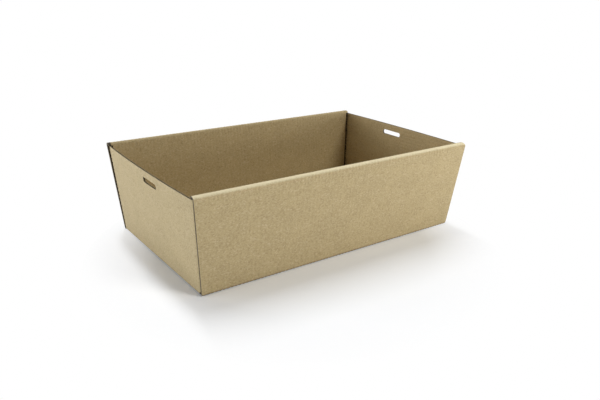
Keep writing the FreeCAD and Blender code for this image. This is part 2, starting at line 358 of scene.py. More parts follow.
def gathered(meshes, name):
    """One mesh in place of several, with each of their materials once."""
    papers = []
    work = bmesh.new()
    for part in meshes:
        papers.extend(paper for paper in part.materials if paper not in papers)
        places = [papers.index(paper) for paper in part.materials]
        known = len(work.faces)
        work.from_mesh(part)
        work.faces.ensure_lookup_table()
        for face in work.faces[known:]:
            if places:
                face.material_index = places[face.material_index]
        bpy.data.meshes.remove(part)
    whole = bpy.data.meshes.new(name)
    work.to_mesh(whole)
    work.free()
    for paper in papers:
        whole.materials.append(paper)
    return whole


def trim_ends(work, fold, inset):
    """Cut away what passes the ends' outer faces, less an inset."""
    for sign in (1, -1):
        short = fold.tray.back_short if sign == -1 and fold.worn_end == -1 else 0.0
        outward = Vector((sign * fold.end_cos, 0, -math.sin(fold.tray.end_lean)))
        spot = Vector((sign * (fold.half_length - max(inset, short) / fold.end_cos), 0, 0))
        everything = list(work.verts) + list(work.edges) + list(work.faces)
        bmesh.ops.bisect_plane(
            work, geom=everything, dist=WELD / 10, plane_co=spot, plane_no=outward, clear_outer=True
        )


def near_crease(distance, reach):
    """1 at a crease, falling smoothly to 0 at its reach."""
    away = min(1.0, max(0.0, distance / reach))
    return (1 - away) ** 2 * (1 + 2 * away)


# How far from a crease the paper is pressed, and the rows' distances from it.
CREASE_REACH = 4.0 * MM
CREASE_STEPS = (0.0, 0.8 * MM, 2.0 * MM, 4.0 * MM, 10 * MM)

# How hard a fold presses the flutes: at the sides' feet, by the tuck flaps and on the rim's top.
FOOT_CREASE = 0.6
FLAP_CREASE = 0.8
RIM_CREASE = 0.35

# Where the rim is pale, partly as stretched paper and partly as a painted highlight on its top: the wall
# just below it, its first edge, and how fast it ends inside.
WEAR_HIGHLIGHT_REACH = 1.2 * MM
WEAR_HIGHLIGHT_WALL = 0.1
WEAR_HIGHLIGHT_EDGE = 0.15
WEAR_HIGHLIGHT_TURN = math.radians(30)

# Where shade is painted on the paper: at the foot, in the corners' pockets and at the back rim's left
# end.
FOOT_SHADE_TURN = math.radians(105)
FOOT_SHADE = 0.9
POCKET_SHADE_REACH = 12 * MM
RIM_END_SHADE_REACH = 2.4 * MM

# How many steps make a bend, the rim's half ring, and one flute of the walls and of the base.
BEND_STEPS = 6
ROLL_STEPS = 16
FLUTE_STEPS = 6
BASE_FLUTE_STEPS = 4

# The share of the rim's height that is pressed down at its worn end.
LIP_PRESS = 0.9


def crease_rows(start, end):
    """Rows along a flat panel from start to end, closer together near its two creases."""
    low = [start + step for step in CREASE_STEPS]
    high = [end - step for step in reversed(CREASE_STEPS)]
    return low + [(start + end) / 2] + high


def painted_foot_shade(turn):
    """Painted shade on the part of a fold at the base's edge that all but touches the floor."""
    return -FOOT_SHADE * near_crease(turn, FOOT_SHADE_TURN)


def rim_wear_and_highlight(turn):
    """Paler towards the rim's top, partly as stretched paper and partly as a painted highlight, and
    plain again a little past it.
    """
    if turn > math.pi / 2:
        return max(0.0, 1 - (turn - math.pi / 2) / WEAR_HIGHLIGHT_TURN)
    return WEAR_HIGHLIGHT_EDGE + (1 - WEAR_HIGHLIGHT_EDGE) * math.sin(turn)


def side_stations(fold):
    """The outer wall's fold from the base to the rim's far side: (point, inward, crease, tone)."""
    lean = fold.tray.side_lean
    centre = Vector((0, fold.side_setback - fold.half_width, fold.bend))
    stations = []
    for turn in spread(0, math.pi / 2 - lean, BEND_STEPS):
        inward = Vector((0, math.sin(turn), math.cos(turn)))
        stations.append((centre - fold.bend * inward, inward, FOOT_CREASE, painted_foot_shade(turn)))
    for rise in crease_rows(fold.side_setback, fold.roll_start)[1:-1]:
        foot = FOOT_CREASE * near_crease(rise - fold.side_setback, CREASE_REACH)
        rim = near_crease(fold.roll_start - rise, CREASE_REACH)
        tone = WEAR_HIGHLIGHT_WALL * near_crease(fold.roll_start - rise, WEAR_HIGHLIGHT_REACH)
        spot = fold.side_foot + rise * fold.up
        stations.append((spot, fold.inward, max(foot, rim), tone))
    ring = fold.side_foot + fold.roll * fold.inward + fold.roll_start * fold.up
    for turn in spread(0, math.pi, ROLL_STEPS):
        outward = -math.cos(turn) * fold.inward + math.sin(turn) * fold.up
        creasing = RIM_CREASE + (1 - RIM_CREASE) * abs(math.cos(turn)) ** 3
        stations.append((ring + fold.roll * outward, -outward, creasing, rim_wear_and_highlight(turn)))
    return stations


def rounded_lip(fold, point, x):
    """Press the rim down towards its worn end, as handling does."""
    reach = fold.tray.lip_rounding
    past = x * fold.worn_end - fold.end_reach(fold.tray.tray_height) + reach
    rise = (point - fold.side_foot).dot(fold.up) - fold.roll_start
    if past <= 0 or rise <= 0 or reach <= 0:
        return point
    kept = math.sqrt(max(0.0, 1 - min(1.0, past / reach) ** 2))
    return point - fold.up * rise * (1 - kept) * LIP_PRESS


def side_columns(fold):
    """Lines across the whole side, with the lock tabs' ends among them."""
    tabs = [sign * middle for sign in (1, -1) for middle in tab_ends(fold, 0.0)]
    reach = fold.end_reach(fold.tray.tray_height) + fold.board
    return flute_lines(-reach, reach, fold.pitch, FLUTE_STEPS, tabs)


def tab_ends(fold, play):
    """Both ends of the right lock tab along X, opened by some play."""
    middle = fold.tray.tab_spacing / 2
    half = fold.tray.tab_length / 2 + play
    return middle - half, middle + half


def in_tab(fold, x, play):
    """Whether x lies between the ends of a lock tab, opened by some play."""
    near, far = tab_ends(fold, play)
    return near < abs(x) < far


def side_tone(fold, face, x, height, tone):
    """The station's tone, but with painted shade in the pocket by each end and at the back rim's unworn
    end.
    """
    to_end = fold.end_reach(height) - abs(x)
    if face == INSIDE:
        return -near_crease(to_end, POCKET_SHADE_REACH)
    if fold.worn_end == -1 and x > 0 and to_end < RIM_END_SHADE_REACH and height > fold.roll_start:
        return -1.0
    return tone


def side_sheet(fold, face):
    """The front side's outer wall and rim, ready to be trimmed at its ends."""
    depth = fold.depth(face)
    columns = side_columns(fold)
    rows = []
    for point, inward, creasing, tone in side_stations(fold):
        row = []
        for x in columns:
            spot = rounded_lip(fold, point + depth * inward, x)
            row.append(((x, spot.y, spot.z), x, creasing, side_tone(fold, face, x, spot.z, tone)))
        rows.append(row)
    sheet = Sheet()
    sheet.grid(rows, flip=face == INSIDE)
    return sheet


def inner_sheet(fold, face):
    """The front side's inner wall with its two lock tabs, ready to be trimmed at its ends."""
    far_face = 2 * fold.roll - fold.board
    drop = far_face * math.sin(fold.tray.side_lean)
    foot = (fold.board + fold.gap - drop) / fold.side_cos
    tip = (fold.tray.tab_rise - drop) / fold.side_cos
    depth = 2 * fold.roll - fold.depth(face)
    columns = side_columns(fold)
    rises = [tip] + crease_rows(foot, fold.roll_start)
    rows = []
    for rise in rises:
        spot = fold.side_foot + depth * fold.inward + rise * fold.up
        creasing = near_crease(fold.roll_start - rise, CREASE_REACH)
        row = []
        for x in columns:
            pressed = rounded_lip(fold, spot, x)
            row.append(((x, pressed.y, pressed.z), x, creasing, 0.0))
        rows.append(row)

    def keep(up, side):
        return up > 0 or in_tab(fold, (columns[side] + columns[side + 1]) / 2, 0.0)

    sheet = Sheet()
    sheet.grid(rows, flip=face != INSIDE, keep=keep)
    return sheet


def side_mesh(fold, face):
    """One face of the front side's board, trimmed and welded."""
    outer = side_sheet(fold, face).mesh(f"outer_wall_{face}")
    edit(outer, lambda work: trim_ends(work, fold, 0.0))
    inner = inner_sheet(fold, face).mesh(f"inner_wall_{face}")
    inset = fold.board + fold.tray.inner_end_gap * fold.end_cos
    edit(inner, lambda work: trim_ends(work, fold, inset))
    whole = gathered([outer, inner], f"side_{face}")
    edit(whole)
    return whole


# How many steps make a hand slot's corner, an end's width and a tuck flap's length.
SLOT_ARC_STEPS = 5
WALL_COLUMNS = 20
FLAP_COLUMNS = 3

# Lines of the end stay this many corner radii clear of the hand slot's ends.
SLOT_MARGIN = 1.3


class HandSlot:
    """The right end's hand slot: where its outline crosses each row of the end."""

    def __init__(self, fold):
        tray = fold.tray
        self.middle = tray.slot_offset
        self.half = tray.slot_length / 2
        self.corner = tray.slot_corner
        self.high = tray.end_height / fold.end_cos - tray.slot_drop
        self.low = self.high - tray.slot_height

    def rows(self):
        """Rows up the slope that follow the slot's rounded corners."""
        turns = spread(0, math.pi / 2, SLOT_ARC_STEPS)
        low = [self.low + self.corner * (1 - math.cos(turn)) for turn in turns]
        high = [self.high - self.corner * (1 - math.cos(turn)) for turn in turns]
        return low + high

    def inset(self, slope):
        """How far the outline is drawn in at this row by its rounded corner."""
        edge = min(slope - self.low, self.high - slope)
        past = min(1.0, max(0.0, 1 - edge / self.corner))
        return self.corner * (1 - math.sqrt(max(0.0, 1 - past * past)))

    def inside(self, low, high):
        """Whether rows from low to high lie within the slot's height."""
        return self.low - LINE_GAP / 2 < low and high < self.high + LINE_GAP / 2


def wall_columns(fold):
    """Shares of the end's half width at the rows' lines, and the numbers of the slot's lines."""
    slot = fold.slot
    chord = fold.half_chord(slot.low * fold.end_cos)
    edges = [(slot.middle + sign * slot.half) / chord for sign in (-1, 1)]
    locks = [sign * fold.slot_reach() / fold.half_chord(0) for sign in (-1, 1)]
    margin = SLOT_MARGIN * slot.corner / chord
    clear = [
        spot
        for spot in spread(-1, 1, WALL_COLUMNS)
        if all(abs(spot - edge) > margin for edge in edges)
    ]
    lines = sorted(clear + edges + locks)
    return lines, [lines.index(edge) for edge in edges]


def end_rows(fold):
    """Rows up an end's slope, from its foot row to its top edge."""
    top = fold.tray.end_height / fold.end_cos
    foot = fold.end_foot / fold.end_cos
    return flute_lines(foot, top, fold.pitch, FLUTE_STEPS, fold.slot.rows())


def wall_spot(fold, slope, spot, depth):
    """A point of the right end's wall, at a share of its half width and a depth in the board."""
    height = slope * fold.end_cos
    x = fold.end_reach(height) + fold.bow(height, spot) - depth / fold.end_cos
    return Vector((x, spot * fold.half_chord(height), height))


def wall_row(fold, slope, depth):
    """One row of the right end's wall, with the hand slot's outline among its points."""
    slot = fold.slot
    shares, slot_lines = wall_columns(fold)
    chord = fold.half_chord(slope * fold.end_cos)
    row = []
    for line, spot in enumerate(shares):
        if line in slot_lines:
            sign = 1 if line == slot_lines[1] else -1
            spot = (slot.middle + sign * (slot.half - slot.inset(slope))) / chord
        row.append((wall_spot(fold, slope, spot, depth), fold.half_length + slope, 0.0, 0.0))
    return row


def end_wall(fold, sheet, face):
    """The right end's wall with its hand slot, from its foot row up."""
    _, slot_lines = wall_columns(fold)
    slopes = end_rows(fold)
    rows = [wall_row(fold, slope, fold.depth(face)) for slope in slopes]

    def keep(up, side):
        beside = slot_lines[0] <= side < slot_lines[1]
        return not (beside and fold.slot.inside(slopes[up], slopes[up + 1]))

    sheet.grid(rows, flip=face == INSIDE, keep=keep)


def flap_painted_shade(face):
    """Painted shade on the faces of a tuck flap that look into its corner's pocket."""
    return -1.0 if face == INSIDE else 0.0


def corner_and_flap(fold, sheet, face, sign):
    """The fold at one side of the right end, and its tuck flap."""
    slopes = end_rows(fold)
    inset_x = fold.depth(face) / fold.end_cos
    inset_y = fold.depth(face) / fold.side_cos
    rows = []
    for slope in slopes:
        height = slope * fold.end_cos
        centre_x = fold.corner_reach(height, sign)
        centre_y = fold.half_chord(height)
        row = []
        for turn in spread(0, math.pi / 2, BEND_STEPS):
            x = centre_x + (fold.bend - inset_x) * math.cos(turn)
            y = centre_y + (fold.bend - inset_y) * math.sin(turn)
            across = fold.half_length + slope
            row.append(((x, sign * y, height), across, FLAP_CREASE, flap_painted_shade(face)))
        rows.append(row)
    sheet.grid(rows, flip=(face == INSIDE) != (sign < 0))
    tuck_flap(fold, sheet, face, sign, slopes)


def tuck_flap(fold, sheet, face, sign, slopes):
    """A tuck flap from its corner fold to its free edge."""
    tray = fold.tray
    low = tray.flap_lift
    high = tray.end_height - tray.flap_drop
    inset_y = fold.depth(face) / fold.side_cos
    free = fold.half_length - tray.flap_length
    narrowing = (high - low - 2 * tray.flap_taper) / (high - low)
    heights = [slope * fold.end_cos for slope in slopes if low <= slope * fold.end_cos <= high]
    rows = []
    for height in heights:
        closed = low + tray.flap_taper + (height - low) * narrowing
        corner = fold.corner_reach(height, sign)
        across = fold.half_length + height / fold.end_cos
        row = []
        for out in spread(0, 1, FLAP_COLUMNS):
            up = height + (closed - height) * out
            x = corner + (free - corner) * out
            y = fold.flap_reach(up) - inset_y
            at_fold = 1.0 if out == 0 else 0.0
            tone = flap_painted_shade(face) * at_fold
            row.append(((x, sign * y, up), across, FLAP_CREASE * at_fold, tone))
        rows.append(row)
    sheet.grid(rows, flip=(face == INSIDE) != (sign < 0))


def end_bend(fold, sheet, face):
    """The bend at the right end's foot, up to the wall's foot row."""
    depth = fold.depth(face)
    shares, _ = wall_columns(fold)
    centre = Vector((fold.half_length - fold.end_setback, 0, fold.bend))
    rows = []
    for turn in spread(0, math.pi / 2 - fold.tray.end_lean, BEND_STEPS):
        outward = Vector((math.sin(turn), 0, -math.cos(turn)))
        spot = centre + (fold.bend - depth) * outward
        across = centre.x + fold.bend * turn
        chord = fold.half_chord(0) + spot.z * fold.side_tan * math.sin(turn)
        tone = painted_foot_shade(turn) if face == OUTSIDE else 0.0
        rows.append([((spot.x, part * chord, spot.z), across, 0.0, tone) for part in shares])
    rows.append(wall_row(fold, end_rows(fold)[0], depth))
    sheet.grid(rows, flip=face == INSIDE)


def base_sheet(fold, face):
    """The base with the lock tabs' four slots."""
    shares, _ = wall_columns(fold)
    tray = fold.tray
    chord = fold.half_chord(0)
    reach_x = fold.half_length - fold.end_setback
    reach_y = fold.half_width - fold.side_setback
    near = fold.slot_reach()
    outer_face = (2 * fold.roll - fold.board) / fold.side_cos
    far = fold.half_width - outer_face + fold.board * fold.side_tan + tray.tab_play
    slot_ends = [sign * end for sign in (1, -1) for end in tab_ends(fold, tray.tab_play)]
    columns = flute_lines(-reach_x, reach_x, fold.pitch, BASE_FLUTE_STEPS, slot_ends)
    lines = merged([spot * chord for spot in shares], (-reach_y, -far, far, reach_y))
    height = fold.depth(face)
    rows = [[((x, y, height), x, 0.0, 0.0) for y in lines] for x in columns]

    def keep(up, side):
        x = (columns[up] + columns[up + 1]) / 2
        y = abs(lines[side] + lines[side + 1]) / 2
        return not (in_tab(fold, x, tray.tab_play) and near < y < far)

    sheet = Sheet()
    sheet.grid(rows, flip=face == INSIDE, keep=keep)
    return sheet


def base_and_ends_mesh(fold, face):
    """One face of the base, both ends and their tuck flaps."""
    end = Sheet()
    end_bend(fold, end, face)
    end_wall(fold, end, face)
    for sign in (1, -1):
        corner_and_flap(fold, end, face, sign)
    whole = base_sheet(fold, face)
    whole.join(end)
    whole.join(end.turned())
    mesh = whole.mesh(f"base_and_ends_{face}")
    edit(mesh)
    return mesh


# Relief of the flutes, by geometry nodes


# How a tree's nodes are laid out, so that it can be read.
NODES_IN_ROW = 8
NODE_WIDTH = 220
NODE_HEIGHT = 260


class Graph:
    """Short calls that add and link the nodes of one tree."""

    def __init__(self, tree):
        self.tree = tree

    def add(self, kind, inputs=None, **settings):
        row, place = divmod(len(self.tree.nodes), NODES_IN_ROW)
        node = self.tree.nodes.new(kind)
        node.location = (NODE_WIDTH * place, -NODE_HEIGHT * row)
        for name, value in settings.items():
            setattr(node, name, value)
        self.fill(node, inputs or {})
        return node

    def fill(self, node, inputs):
        """Link each input to a socket, or set it to a plain value or an opaque colour."""
        for key, value in inputs.items():
            socket = node.inputs[key]
            if isinstance(value, bpy.types.NodeSocket):
                self.tree.links.new(value, socket)
            elif socket.type == "RGBA":
                socket.default_value = (*value, 1.0)
            else:
                socket.default_value = value

    def first(self, kind):
        """The tree's first node of a kind."""
        return next(node for node in self.tree.nodes if node.type == kind)

    def math(self, operation, first, second=0.0):
        family = "ShaderNodeMath"
        return self.add(family, {0: first, 1: second}, operation=operation).outputs[0]

    def times(self, first, second):
        return self.math("MULTIPLY", first, second)

    def plus(self, first, second):
        return self.math("ADD", first, second)


# The dents' patches: their scale, their least depth and how much deeper they can be.
PATCH_SCALE = 260.0
PATCH_LEAST = 0.3
PATCH_SPAN = 1.4


def relief_rise(graph, given):
    """How far a point stands out: the fluting's wave, less the liners' washboard and dents."""
    kind = "GeometryNodeInputNamedAttribute"
    across = graph.add(kind, {"Name": "across"}, data_type="FLOAT").outputs["Attribute"]
    pressed = graph.add(kind, {"Name": "crease"}, data_type="FLOAT").outputs["Attribute"]
    turns = graph.times(graph.math("DIVIDE", across, given["Pitch"]), TURN)
    wave = graph.math("COSINE", graph.plus(turns, given["Phase"]))
    hollow = graph.times(graph.math("SUBTRACT", 1.0, wave), 0.5)
    grain = {"Scale": PATCH_SCALE, "Detail": 1.0}
    patches = graph.add("ShaderNodeTexNoise", grain, noise_dimensions="3D").outputs["Fac"]
    uneven = graph.plus(graph.times(patches, PATCH_SPAN), PATCH_LEAST)
    dent = graph.times(graph.times(hollow, given["Crush"]), pressed)
    down = graph.plus(graph.times(hollow, given["Washboard"]), graph.times(dent, uneven))
    return graph.math("SUBTRACT", graph.times(wave, given["Wave"]), down)


def relief_tree():
    """Waves and dents at the flutes' pitch, along each point's own normal."""
    tree = bpy.data.node_groups.new("flute_relief", "GeometryNodeTree")
    tree.is_modifier = True
    sockets = tree.interface
    sockets.new_socket("Geometry", in_out="INPUT", socket_type="NodeSocketGeometry")
    for name in ("Pitch", "Phase", "Wave", "Washboard", "Crush"):
        sockets.new_socket(name, in_out="INPUT", socket_type="NodeSocketFloat")
    sockets.new_socket("Paper", in_out="INPUT", socket_type="NodeSocketMaterial")
    sockets.new_socket("Geometry", in_out="OUTPUT", socket_type="NodeSocketGeometry")
    graph = Graph(tree)
    given = graph.add("NodeGroupInput").outputs
    normal = graph.add("GeometryNodeInputNormal").outputs[0]
    inputs = {0: normal, "Scale": relief_rise(graph, given)}
    shift = graph.add("ShaderNodeVectorMath", inputs, operation="SCALE").outputs[0]
    inputs = {"Geometry": given["Geometry"], "Offset": shift}
    moved = graph.add("GeometryNodeSetPosition", inputs).outputs[0]
    inputs = {"Geometry": moved, "Material": given["Paper"]}
    paper = graph.add("GeometryNodeSetMaterial", inputs).outputs[0]
    graph.add("NodeGroupOutput", {0: paper})
    return tree


def set_inputs(modifier, values):
    """Set the tree's named inputs by their sockets' identifiers."""
    for item in modifier.node_group.interface.items_tree:
        if item.in_out == "INPUT" and item.name in values:
            modifier[item.identifier] = values[item.name]


def paper_mesh(mesh, tree, values, edge, thickness, offset):
    """The mesh with its relief, its paper's thickness and its cut edges, as a plain mesh."""
    mesh.materials.append(values["Paper"])
    mesh.materials.append(edge)
    stand_in = add_object(mesh.name, mesh)
    relief = stand_in.modifiers.new("Relief", "NODES")
    relief.node_group = tree
    set_inputs(relief, values)
    paper = stand_in.modifiers.new("Paper", "SOLIDIFY")
    paper.thickness = thickness
    paper.offset = offset
    paper.material_offset_rim = 1
    depsgraph = bpy.context.evaluated_depsgraph_get()
    plain = bpy.data.meshes.new_from_object(stand_in.evaluated_get(depsgraph))
    bpy.data.objects.remove(stand_in)
    bpy.data.meshes.remove(mesh)
    return plain


def liner_values(board, face, paper):
    """Relief of one liner. The flutes touch the two liners by turns, so one is half a turn on."""
    return {
        "Pitch": board.pitch,
        "Phase": 0.0 if face == OUTSIDE else math.pi,
        "Washboard": board.inner_washboard if face == INSIDE else board.washboard,
        "Crush": board.crush,
        "Paper": paper,
    }


def fluting_values(board, paper):
    """Waves of the fluted paper, from one liner to the other."""
    wave = (board.board - 2 * board.liner - board.fluting) / 2 - board.inner_washboard
    return {"Pitch": board.pitch, "Wave": wave, "Paper": paper}


SHARP_ANGLE = math.radians(40)


def finished(meshes, name, turned=False):
    """Make one piece of several plain meshes, shaded smooth but for its sharp edges."""
    mesh = gathered(meshes, name)
    if turned:
        mesh.transform(Matrix.Rotation(math.pi, 4, "Z"))
    mesh.shade_smooth()
    mesh.set_sharp_from_angle(angle=SHARP_ANGLE)
    piece = add_object(name, mesh)
    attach(piece, BODY)
    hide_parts(NODE)


def both_liners(make, fold, settings):
    """The outer and the inner liner of some panels, with their relief and thickness."""
    tree = shared(bpy.data.node_groups, "flute_relief", relief_tree)
    edge = shared(bpy.data.materials, "cut_edge", lambda: cut_edge(settings.finish))
    board = settings.board
    meshes = []
    for face in (OUTSIDE, INSIDE):
        name = f"kraft_{face}"
        tint = tuple(settings.finish.inner) if face == INSIDE else PLAIN
        paper = shared(bpy.data.materials, name, lambda: kraft_paper(name, settings.finish, tint))
        values = liner_values(board, face, paper)
        meshes.append(paper_mesh(make(fold, face), tree, values, edge, board.liner, -1))
    return meshes


# Materials


def principled(name):
    """A new material with only its shader and output, and the graph to add to."""
    material = bpy.data.materials.new(name)
    material.use_nodes = True
    graph = Graph(material.node_tree)
    return material, graph, graph.first("BSDF_PRINCIPLED")


def blend_colours(graph, amount, first, second):
    """The two colours mixed by an amount. The node takes colours at its inputs 6 and 7."""
    inputs = {0: amount, 6: first, 7: second}
    return graph.add("ShaderNodeMix", inputs, data_type="RGBA").outputs[2]


def ramp(graph, value, low, high):
    """0 below low, 1 above high and even in between."""
    inputs = {"Value": value, "From Min": low, "From Max": high}
    return graph.add("ShaderNodeMapRange", inputs).outputs[0]


def noise(graph, place, scale, detail, roughness):
    """A cloudy pattern between 0 and 1."""
    inputs = {"Vector": place, "Scale": scale, "Detail": detail, "Roughness": roughness}
    return graph.add("ShaderNodeTexNoise", inputs).outputs["Fac"]


def bump(graph, height, strength, distance):
    """The normal of a rough surface."""
    inputs = {"Height": height, "Strength": strength, "Distance": distance}
    return graph.add("ShaderNodeBump", inputs).outputs[0]


# The paper's patterns, each with its scale, detail and roughness, and the levels where it shows.
CLOUDS = (70.0, 2.0, 0.55)
CLOUD_LEVELS = (0.35, 0.65)
MOTTLE = (640.0, 3.0, 0.7)
MOTTLE_LEVELS = (0.48, 0.74)
FIBRES = (1250.0, 2.0, 0.6)
FIBRE_LEVELS = (0.5, 0.74)
FLUTE_FIBRES = (900.0, 3.0, 0.55)
FLUTE_LEVELS = (0.35, 0.7)
FLUTE_SHADE = 0.6

# How the fibres are drawn out along X, and their share in the paper's bump.
FIBRE_DRAW = (0.5, 1.0, 1.0)
FIBRE_BUMP = 0.5

# Roughness of the papers, what the mottle adds to it, and their gloss.
PAPER_ROUGH = 0.62
MOTTLE_ROUGH = 0.25
CUT_ROUGH = 0.95
FLUTE_ROUGH = 0.92
PAPER_GLOSS = 0.3
CUT_GLOSS = 0.2

# Each bump's strength and height.
PAPER_BUMP = (0.35, 0.12 * MM)
FLUTE_BUMP = (0.4, 0.1 * MM)

# How much of the worn and highlight colour and of the painted shade shows at most, and how uneven the
# pale border is.
WEAR_HIGHLIGHT_MOST = 0.9
PAINTED_SHADE_MOST = 0.95
WEAR_HIGHLIGHT_UNEVEN = 1.2
WEAR_HIGHLIGHT_LEVELS = (0.3, 0.75)


def kraft_paper(name, finish, tint):
    """Unbleached paper: cloudy, with dark and pale fibres along the length."""
    material, graph, shader = principled(name)
    place = graph.add("ShaderNodeTexCoord").outputs["Object"]
    clouds = noise(graph, place, *CLOUDS)
    mottle = noise(graph, place, *MOTTLE)
    drawn = graph.add("ShaderNodeVectorMath", {0: place, 1: FIBRE_DRAW}, operation="MULTIPLY")
    fibres = noise(graph, drawn.outputs[0], *FIBRES)
    tone = blend_colours(graph, ramp(graph, clouds, *CLOUD_LEVELS), finish.shade, finish.kraft)
    flecks = ((mottle, MOTTLE_LEVELS, finish.fleck), (fibres, FIBRE_LEVELS, finish.bloom))
    for pattern, levels, paint in flecks:
        amount = graph.times(ramp(graph, pattern, *levels), finish.grain)
        tone = blend_colours(graph, amount, tone, paint)
    tone = wear_and_painted_light(graph, tone, mottle, finish)
    tone = graph.add("ShaderNodeVectorMath", {0: tone, 1: tint}, operation="MULTIPLY").outputs[0]
    rough = graph.plus(graph.times(mottle, MOTTLE_ROUGH), PAPER_ROUGH)
    grain = graph.plus(mottle, graph.times(fibres, FIBRE_BUMP))
    normal = bump(graph, grain, *PAPER_BUMP)
    graph.fill(shader, {"Base Color": tone, "Roughness": rough, "Normal": normal})
    graph.fill(shader, {"Specular IOR Level": PAPER_GLOSS})
    return material


def wear_and_painted_light(graph, tone, mottle, finish):
    """The colour with the points' own tone: pale at the rims as wear and a painted highlight, painted
    shade at feet and in pockets.
    """
    given = graph.add("ShaderNodeAttribute", attribute_name="tone").outputs["Fac"]
    uneven = graph.times(graph.math("SUBTRACT", mottle, 0.5), WEAR_HIGHLIGHT_UNEVEN)
    edge = ramp(graph, graph.plus(given, uneven), *WEAR_HIGHLIGHT_LEVELS)
    # Wear with a painted highlight: the worn colour where the tone is above 0.
    worn = graph.times(edge, graph.math("MAXIMUM", given, 0.0))
    worn = graph.times(worn, WEAR_HIGHLIGHT_MOST)
    tone = blend_colours(graph, worn, tone, finish.worn)
    # Painted shade: the pocket colour where the tone is below 0.
    painted_shade = graph.math("MINIMUM", graph.times(given, -1.0), PAINTED_SHADE_MOST)
    return blend_colours(graph, painted_shade, tone, finish.pocket)


def cut_edge(finish):
    """The rough, darker paper where the liners are cut."""
    material, graph, shader = principled("cut_edge")
    graph.fill(shader, {"Base Color": finish.cut, "Roughness": CUT_ROUGH})
    graph.fill(shader, {"Specular IOR Level": CUT_GLOSS})
    return material


def shaded_fluting_paper(finish):
    """The greyer, rougher paper between the liners, its dark colour partly its own and partly painted
    shade of the board's channels.
    """
    material, graph, shader = principled("shaded_fluting_paper")
    place = graph.add("ShaderNodeTexCoord").outputs["Object"]
    fibres = noise(graph, place, *FLUTE_FIBRES)
    dark = tuple(FLUTE_SHADE * part for part in finish.flute)
    tone = blend_colours(graph, ramp(graph, fibres, *FLUTE_LEVELS), finish.flute, dark)
    normal = bump(graph, fibres, *FLUTE_BUMP)
    graph.fill(shader, {"Base Color": tone, "Roughness": FLUTE_ROUGH, "Normal": normal})
    graph.fill(shader, {"Specular IOR Level": CUT_GLOSS})
    return material


def shared(kind, name, make):
    """The material or tree of this name, made on its first use."""
    return kind.get(name) or make()


# The studio


# The floor shows shadow near this spot, and turns to plain white between these distances from it.
SHADOW_MIDDLE = (-0.02, -0.04, 0.0)
SHADOW_REACH = (0.115, 0.175)
FLOOR_HALF = 6.0


def floor_material(studio):
    """A pale floor that turns to plain white away from the tray and keeps the tray's shadow."""
    material, graph, shader = principled("studio_floor")
    graph.tree.nodes.remove(shader)
    path = graph.add("ShaderNodeLightPath").outputs
    seen = graph.math("MAXIMUM", path["Is Camera Ray"], path["Is Glossy Ray"])
    paint = graph.add("ShaderNodeBsdfDiffuse", {"Color": studio.floor})
    glow = graph.add("ShaderNodeEmission", {"Strength": graph.times(seen, studio.lift)})
    near = graph.add("ShaderNodeAddShader", {0: paint.outputs[0], 1: glow.outputs[0]})
    place = graph.add("ShaderNodeTexCoord").outputs["Object"]
    middle = {0: place, 1: SHADOW_MIDDLE}
    away = graph.add("ShaderNodeVectorMath", middle, operation="DISTANCE").outputs["Value"]
    far_share = graph.times(ramp(graph, away, *SHADOW_REACH), seen)
    far = graph.add("ShaderNodeEmission", {"Strength": 1.0})
    mix = graph.add("ShaderNodeMixShader", {0: far_share, 1: near.outputs[0], 2: far.outputs[0]})
    graph.fill(graph.first("OUTPUT_MATERIAL"), {"Surface": mix.outputs[0]})
    return material


def add_floor(studio):
    """A wide level floor just under the tray."""
    corners = ((-1, -1), (1, -1), (1, 1), (-1, 1))
    points = [(FLOOR_HALF * x, FLOOR_HALF * y, 0.0) for x, y in corners]
    mesh = bpy.data.meshes.new("studio_floor")
    mesh.from_pydata(points, [], [(0, 1, 2, 3)])
    mesh.materials.append(floor_material(studio))
    floor = add_object("studio_floor", mesh)


def add_world(studio):
    """Even light from all round, which the camera sees as white."""
    world = bpy.data.worlds.new("studio_world")
    bpy.context.scene.world = world
    world.use_nodes = True
    graph = Graph(world.node_tree)
    sky = graph.first("BACKGROUND")
    graph.fill(sky, {"Strength": studio.sky, "Color": PLAIN})
    white = graph.add("ShaderNodeBackground", {"Strength": 1.0, "Color": PLAIN})
    seen = graph.add("ShaderNodeLightPath").outputs["Is Camera Ray"]
    mix = graph.add("ShaderNodeMixShader", {0: seen, 1: sky.outputs[0], 2: white.outputs[0]})
    graph.fill(graph.first("OUTPUT_WORLD"), {"Surface": mix.outputs[0]})


# Each lamp's spot, width and height.
BACK_LAMP = ((0.45, 1.98, 4.57), 0.35, 2.96)
LEFT_LAMP = ((-1.1, 0.45, 0.22), 0.9, 0.3)
FRONT_LAMP = ((0.38, -0.5, 0.11), 0.5, 0.12)
FILL_LAMP = ((1.0, -2.2, 2.1), 0.9, 0.9)
LAMP_TARGET = (0.0, 0.0, 0.04)
WARM = (1.0, 0.95, 0.86)
COOL = (0.91, 0.94, 1.0)


def add_lamp(name, place, strength, tint=PLAIN):
    """A soft rectangular lamp, aimed at the tray's middle."""
    spot, width, height = place
    lamp = bpy.data.lights.new(name, "AREA")
    lamp.shape = "RECTANGLE"
    lamp.size = width
    lamp.size_y = height
    lamp.energy = strength
    lamp.color = tint
    aim = Vector(LAMP_TARGET) - Vector(spot)
    turn = aim.to_track_quat("-Z", "Y")
    holder = add_object(name, lamp)
    holder.matrix_world = Matrix.Translation(spot) @ turn.to_matrix().to_4x4()
    holder.visible_camera = False


# The photograph's camera, with its lens and film in millimetres.
CAMERA_SPOT = (-0.2979, -0.4309, 0.2164)
CAMERA_YAW = math.radians(35.79)
CAMERA_PITCH = math.radians(20.0)
CAMERA_ROLL = math.radians(0.98)
CAMERA_LENS = 36.58
CAMERA_FILM = 36.0
CAMERA_NEAR = 0.01


